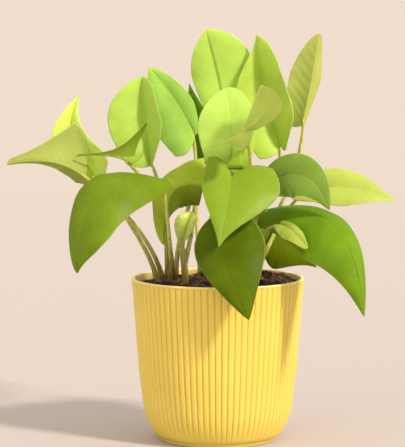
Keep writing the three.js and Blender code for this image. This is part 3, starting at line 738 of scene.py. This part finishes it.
def leafSkin(leaf):
    # Pothos blade: a waxy, faintly uneven skin over thin tissue that lets light through. The upper face is
    # glossier, the lower one paler and matt. Veins are slightly paler, and so is the thin margin, partly by
    # its own colour and partly by a painted highlight along the edge.
    material, tree, shader = newMaterial("waxyBlade." + leaf["name"])
    place = addNode(tree, "ShaderNodeTexCoord").outputs["Object"]

    def read(label):
        return addNode(tree, "ShaderNodeAttribute", {"attribute_name": label}).outputs["Fac"]

    def towards(factor, source, colour):
        blend = addNode(tree, "ShaderNodeMix", {"data_type": "RGBA", 7: colour}, {0: factor, 6: source})
        return blend.outputs[2]

    def shades(colour, low, high, source):
        # the colour with a slightly deeper and a slightly lighter tone of it, by a noise
        base = np.array(linear(colour)[:3])
        tones = [(*np.minimum(base * share, 1), 1.0) for share in (low, 1.0, high)]
        return rampOf(tree, source, list(zip((0.34, 0.52, 0.70), tones)))

    upper, across, veins, leftHalf = read("upper"), read("across"), read("veinLine"), read("leftHalf")
    # clouds of 26 mm, and mottling of 1 mm
    clouds = addNode(tree, "ShaderNodeTexNoise", {"Scale": 38.0, "Detail": 4.0, "Roughness": 0.55},
                     {"Vector": place})
    cells = addNode(tree, "ShaderNodeTexNoise", {"Scale": 900.0, "Detail": 2.0}, {"Vector": place})
    top = shades(leaf["upper"], 1 - leaf["mottle"], 1 + leaf["mottle"], clouds.outputs["Fac"])
    bottom = shades(leaf["under"], 0.93, 1.07, clouds.outputs["Fac"])
    faces = addNode(tree, "ShaderNodeMix", {"data_type": "RGBA"}, {0: upper, 6: bottom, 7: top})
    colour = faces.outputs[2]
    base = np.array(linear(leaf["upper"])[:3])
    # painted shade: the left half is darkened by paintedShadeLeft, as where the curled blade lies in shade
    paintedShade = addNode(tree, "ShaderNodeMath", {"operation": "MULTIPLY", 1: leaf["paintedShadeLeft"]}, {0: leftHalf})
    colour = towards(paintedShade.outputs[0], colour, (*(base * (0.1, 0.25, 0.02)), 1.0))
    speck = addNode(tree, "ShaderNodeMapRange", {"From Min": 0.35, "From Max": 0.75, "To Max": 0.10},
                    {"Value": cells.outputs["Fac"]})
    colour = towards(speck.outputs["Result"], colour, (*np.minimum(base * 1.5 + 0.01, 1), 1.0))
    vein = addNode(tree, "ShaderNodeMath", {"operation": "MULTIPLY", 1: leaf["veinTone"]}, {0: veins})
    colour = towards(vein.outputs[0], colour, (*np.minimum(base * 1.35 + (0.04, 0.05, 0.01), 1), 1.0))
    # the margin is paler partly by its own colour and partly by a painted highlight where light catches the
    # edge
    marginAndRimLight = addNode(tree, "ShaderNodeMapRange", {"From Min": 0.965, "From Max": 0.998, "To Max": 0.35},
                     {"Value": across})
    colour = towards(marginAndRimLight.outputs["Result"], colour, linear("DDE88A"))
    tree.links.new(colour, shader.inputs["Base Color"])
    # gloss: waxy above, matt below, uneven where the wax is thin
    smoothest, roughest, underside = leaf["gloss"] - 0.05, leaf["gloss"] + 0.08, 0.60
    wax = addNode(tree, "ShaderNodeMapRange", {"To Min": smoothest, "To Max": roughest},
                  {"Value": clouds.outputs["Fac"]})
    matt = addNode(tree, "ShaderNodeMix", {"data_type": "FLOAT", 2: underside},
                   {0: upper, 3: wax.outputs["Result"]})
    tree.links.new(matt.outputs[0], shader.inputs["Roughness"])
    shader.inputs["IOR"].default_value = 1.42
    shader.inputs["Specular IOR Level"].default_value = leaf["shine"]
    # a 2.6 mm net of small veins and the mottled skin, barely raised
    net = addNode(tree, "ShaderNodeTexVoronoi", {"feature": "DISTANCE_TO_EDGE", "Scale": 380.0},
                  {"Vector": place})
    netLine = addNode(tree, "ShaderNodeMapRange", {"From Max": 0.12, "To Min": 1.0, "To Max": 0.0},
                      {"Value": net.outputs["Distance"]})
    skin = addNode(tree, "ShaderNodeMath", {"operation": "MULTIPLY_ADD", 1: 0.5},
                   {0: netLine.outputs["Result"], 2: cells.outputs["Fac"]})
    bump = addNode(tree, "ShaderNodeBump", {"Strength": 0.08, "Distance": 0.0004},
                   {"Height": skin.outputs[0]})
    tree.links.new(bump.outputs["Normal"], shader.inputs["Normal"])
    # light that comes through the blade leaves it yellower
    through = towards(speck.outputs["Result"], colour, linear("E6F07A"))
    glow = addNode(tree, "ShaderNodeBsdfTranslucent",
                   links={"Color": through, "Normal": bump.outputs["Normal"]})
    both = addNode(tree, "ShaderNodeMixShader", {0: leaf["glow"]},
                   {1: shader.outputs[0], 2: glow.outputs[0]})
    tree.links.new(both.outputs[0], tree.nodes["Material Output"].inputs["Surface"])
    return material


def widthShare(s, leaf, side):
    # swells from the base to the widest place as a sine, then narrows to a tip with a small round end
    widest = leaf["widest"]
    base = leaf["baseWidth"][side]
    swell = base + (1 - base) * np.sin(np.pi / 2 * np.clip(s / widest, 0, 1))
    past = np.clip((s - widest) / (1 - widest), 0, 1)
    narrowing = (1 - past ** leaf["roundness"]) ** leaf["taper"][side]
    point = leaf["tipWidth"] * np.sqrt(1 - np.clip((s - 0.94) / 0.06, 0, 1) ** 2)
    return point + np.where(s < widest, swell, narrowing)


def turnedTo(vector, start, ends):
    # the vector turned by the shortest turn that takes the start direction to each end direction
    axis = np.cross(start, ends)
    cosine = (ends @ start)[:, None]
    spread = np.broadcast_to(vector, ends.shape)
    along = axis * np.sum(axis * spread, -1, keepdims=True)
    return spread * cosine + np.cross(axis, spread) + along / (1 + cosine)


def makeBlade(leaf, node):
    # The middle surface is the solids': each half reaches from the midrib along its own edge vector,
    # swept back at the base as a lobe, cupped, and waved at the edge. Both faces stand off it by half
    # the thickness. The upper face has a channel along the midrib and sunken side veins, and the
    # lower face a keel and raised veins.
    steps, columns = 96, 28
    midrib = np.array(leaf["midrib"], float)
    s = np.minimum(0.999, 1 - (1 - np.linspace(0, 1, steps + 1)) ** 1.15)
    centre, tangent = bezier(midrib, s), unit(bezierSlope(midrib, s))
    length = np.linalg.norm(np.diff(bezier(midrib, np.linspace(0, 1, 60)), axis=0), axis=1).sum()
    middle = unit(bezierSlope(midrib, [leaf["widest"]]))[0]
    heading = unit(middle + (tangent - middle) * leaf["follow"])
    v = (np.arange(columns + 1) / columns) ** 1.2
    halves, starts, distances = [], [], []
    for side, edge in enumerate((leaf["left"], leaf["right"])):
        reach = turnedTo(np.array(edge, float), middle, heading)
        size = np.linalg.norm(edge)
        width = widthShare(s, leaf, side)
        normal = unit(np.cross(tangent, reach) if side == 0 else np.cross(reach, tangent))
        back = leaf["lobe"][side] * length * (1 - s) ** 3
        phase = 0 if side == 0 else 1.3
        ripple = leaf["wave"] * width * np.sin(2 * np.pi * leaf["waves"] * s + phase)
        fine = 0.22 * width * np.sin(2 * np.pi * 5.3 * s + 2.1 * phase + 0.7)
        cup = (size * leaf["cup"] * width)[:, None] * np.sin(np.pi * v)
        lift = cup + ripple[:, None] * v ** 2 + fine[:, None] * v ** 4
        half = (
            centre[:, None] + reach[:, None] * (width[:, None] * v)[..., None]
            - tangent[:, None] * (back[:, None] * np.sin(np.pi * 0.78 * v ** 0.9))[..., None]
            + normal[:, None] * lift[..., None])
        halves.append(half)
        starts.append(unit(reach + normal * (np.pi * leaf["cup"] * size)))
        distances.append(size * width[:, None] * v)
    # the fold is filled with a round between the two halves' own directions
    inFold = (starts[0] + starts[1])[:, None] / 2
    for half, distance in zip(halves, distances):
        radius = np.minimum(leaf["fold"], 0.5 * distance[:, -1:]) * np.clip(s / 0.3, 0, 1)[:, None]
        half += inFold * (np.sqrt(distance ** 2 + radius ** 2) - distance)[..., None]
    surface = np.concatenate([halves[0][:, :0:-1], halves[1]], 1)
    acrossMap = np.broadcast_to(np.concatenate([v[:0:-1], v]), surface.shape[:2])
    distance = np.concatenate([distances[0][:, :0:-1], distances[1]], 1)
    alongMap = np.broadcast_to(s[:, None], surface.shape[:2])
    # side veins leave the midrib and curve towards the tip, so the place where one left it is behind
    left = alongMap - 0.30 * acrossMap ** 1.25 * (1 - alongMap * 0.6)
    phase = left * leaf["veins"]
    offset = np.abs(phase - np.round(phase))
    ends = np.clip(left * 12, 0, 1) * np.clip((0.97 - alongMap) * 8, 0, 1)
    fade = np.clip(1 - acrossMap ** 3, 0, 1) * ends
    veinLine = np.exp(-(offset / 0.085) ** 2) * fade
    rib = np.exp(-(distance / (0.9 - 0.45 * alongMap)) ** 2)
    veinLine = np.maximum(veinLine, rib * (1 - 0.5 * alongMap))
    along = np.gradient(surface, axis=0)
    across = np.gradient(surface, axis=1)
    normal = unit(np.cross(across, along))
    half = 0.26 - 0.12 * acrossMap ** 2
    quilt = 0.16 * leaf["relief"] * np.cos(2 * np.pi * phase) * fade * np.clip(distance / 3, 0, 1)
    thin = np.clip(length / 60, 0.4, 1)
    upperLift = half - quilt - thin * 0.38 * rib * (1 - 0.8 * alongMap)
    lowerLift = half + quilt + thin * 0.75 * rib * (1 - 0.85 * alongMap)
    upperPoints = surface + normal * upperLift[..., None]
    lowerPoints = surface - normal * lowerLift[..., None]
    rows, wide = surface.shape[:2]
    each = rows * wide
    faces = gridFaces(rows, wide)
    faces += [face[::-1] for face in gridFaces(rows, wide, start=each)]
    grid = np.arange(each).reshape(rows, wide)
    rim = np.concatenate([grid[0, :-1], grid[:-1, -1], grid[-1, :0:-1], grid[:0:-1, 0]])
    after = np.roll(rim, -1)
    faces += np.stack([rim, rim + each, after + each, after], -1).tolist()
    leftMap = np.broadcast_to(np.arange(wide) < columns, surface.shape[:2]).astype(float)
    sheets = {"across": acrossMap, "veinLine": veinLine, "leftHalf": leftMap}
    maps = {label: np.tile(np.ravel(values), 2) for label, values in sheets.items()}
    maps["upper"] = np.concatenate([np.ones(each), np.zeros(each)])
    points = np.concatenate([upperPoints.reshape(-1, 3), lowerPoints.reshape(-1, 3)])
    piece = meshPiece(leaf["name"], points, faces, leafSkin(leaf), maps=maps)
    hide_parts(node)
    return normal[0, columns]


stalk = {
    "footRadius": 1.8,
    "endRadius": 0.95,
    "sunk": 5.0,            # mm that a stalk runs on under its blade
    "groove": 0.22,
    "sides": 12,
    "stemRadius": 2.6,
    "stemDepth": 16.0,
    "nodeEvery": 9.0,       # mm between the rings on a stem
    "pale": "D0D070",
    "green": "9CA038",
    "brown": "7C5424",
    "brownBelow": 108.0,    # mm above the ground
    "greenAbove": 140.0,
}


def stalkSkin():
    # Stalks and stems: smooth pale green, finely ribbed along their length, browner near the soil.
    material, tree, shader = newMaterial("fleshyStalk")
    place = addNode(tree, "ShaderNodeTexCoord").outputs["Object"]
    height = addNode(tree, "ShaderNodeAttribute", {"attribute_name": "height"}).outputs["Fac"]
    stretch = addNode(tree, "ShaderNodeMapping", {"Scale": (1.0, 1.0, 0.08)}, {"Vector": place})
    streaks = addNode(tree, "ShaderNodeTexNoise", {"Scale": 900.0, "Detail": 3.0},
                      {"Vector": stretch.outputs["Vector"]})
    clouds = addNode(tree, "ShaderNodeTexNoise", {"Scale": 130.0, "Detail": 3.0}, {"Vector": place})
    tones = [(0.3, linear(stalk["green"])), (0.65, linear(stalk["pale"]))]
    green = rampOf(tree, streaks.outputs["Fac"], tones)
    # the height at which the skin turns brown wavers by 7 mm up and down
    wobble = addNode(tree, "ShaderNodeMath", {"operation": "MULTIPLY_ADD", 1: 14.0, 2: -7.0},
                     {0: clouds.outputs["Fac"]})
    level = addNode(tree, "ShaderNodeMath", {"operation": "ADD"}, {0: height, 1: wobble.outputs[0]})
    brownTo, greenFrom = stalk["brownBelow"], stalk["greenAbove"]
    fading = {"From Min": brownTo, "From Max": greenFrom, "To Min": 0.85, "To Max": 0.0}
    dry = addNode(tree, "ShaderNodeMapRange", fading, {"Value": level.outputs[0]})
    skin = addNode(tree, "ShaderNodeMix", {"data_type": "RGBA", 7: linear(stalk["brown"])},
                   {0: dry.outputs["Result"], 6: green})
    tree.links.new(skin.outputs[2], shader.inputs["Base Color"])
    bump = addNode(tree, "ShaderNodeBump", {"Strength": 0.25, "Distance": 0.0003},
                   {"Height": streaks.outputs["Fac"]})
    tree.links.new(bump.outputs["Normal"], shader.inputs["Normal"])
    rough = addNode(tree, "ShaderNodeMapRange", {"To Min": 0.16, "To Max": 0.3},
                    {"Value": clouds.outputs["Fac"]})
    tree.links.new(rough.outputs["Result"], shader.inputs["Roughness"])
    shader.inputs["Subsurface Weight"].default_value = 0.25
    shader.inputs["Subsurface Radius"].default_value = (1.0, 1.0, 0.3)
    shader.inputs["Subsurface Scale"].default_value = 0.0015
    return material


def stalkCurve(leaf, normal):
    base = np.array(leaf["midrib"][0], float)
    ahead = unit(np.array(leaf["midrib"][1], float) - base)
    end = base + ahead * stalk["sunk"] - normal * 0.55
    t = np.linspace(0, 1, 56)
    return bezier([*leaf["stalk"], end], t), t


def stemPath(cutting):
    x, y = cutting["foot"]
    top = np.array(cutting["top"], float)
    low = np.array([x, y, mix["level"] - stalk["stemDepth"]])
    straight = np.array([x, y, mix["level"] + 5.0])
    t = np.linspace(0, 1, 48)
    return bezier([low, straight, straight + (top - straight) * 0.35, top], t), t


def makeStalks(cutting, normals, material):
    # One piece for each cutting: a stem with rings where old leaves left it, and its leaf stalks, each
    # thicker at its foot and at the knee under its blade, with a shallow groove above.
    path, t = stemPath(cutting)
    rings = 0.16 * np.exp(-(((path[:, 2] - 109) % stalk["nodeEvery"]) / 0.9) ** 2)
    dome = np.sqrt(np.clip(1 - ((t - 0.93) / 0.07).clip(0, 1) ** 2, 0.02, 1))
    points, faces = tube(path, (stalk["stemRadius"] * (1 - 0.18 * t) + rings) * dome, 18)
    parts = [points]
    for leaf, normal in zip(cutting["leaves"], normals):
        path, t = stalkCurve(leaf, normal)
        slimFrom = 0.955
        slim = np.clip(1 - (t - slimFrom) / (1 - slimFrom), 0, 1) ** 0.5
        radius = stalk["footRadius"] + (stalk["endRadius"] - stalk["footRadius"]) * t
        radius = radius + 0.45 * np.exp(-t / 0.05) + 0.22 * np.exp(-((t - 0.87) / 0.05) ** 2)
        radius = radius * np.where(t > slimFrom, 0.35 + 0.65 * slim, 1)
        start = sum(len(p) for p in parts)
        more, f = tube(path, radius, stalk["sides"], start=start, groove=stalk["groove"])
        parts.append(more)
        faces += f
    points = np.concatenate(parts)
    name = cutting["node"].replace("cutting", "stalks")
    piece = meshPiece(name, points, faces, material, maps={"height": points[:, 2]})
    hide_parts(cutting["node"])


fleshyStalk = stalkSkin()
for cutting in cuttings:
    leaves = [{**bladeDefaults, **leaf} for leaf in cutting["leaves"]]
    normals = [makeBlade(leaf, cutting["node"]) for leaf in leaves]
    makeStalks(cutting, normals, fleshyStalk)
    print(cutting["node"], "ready")
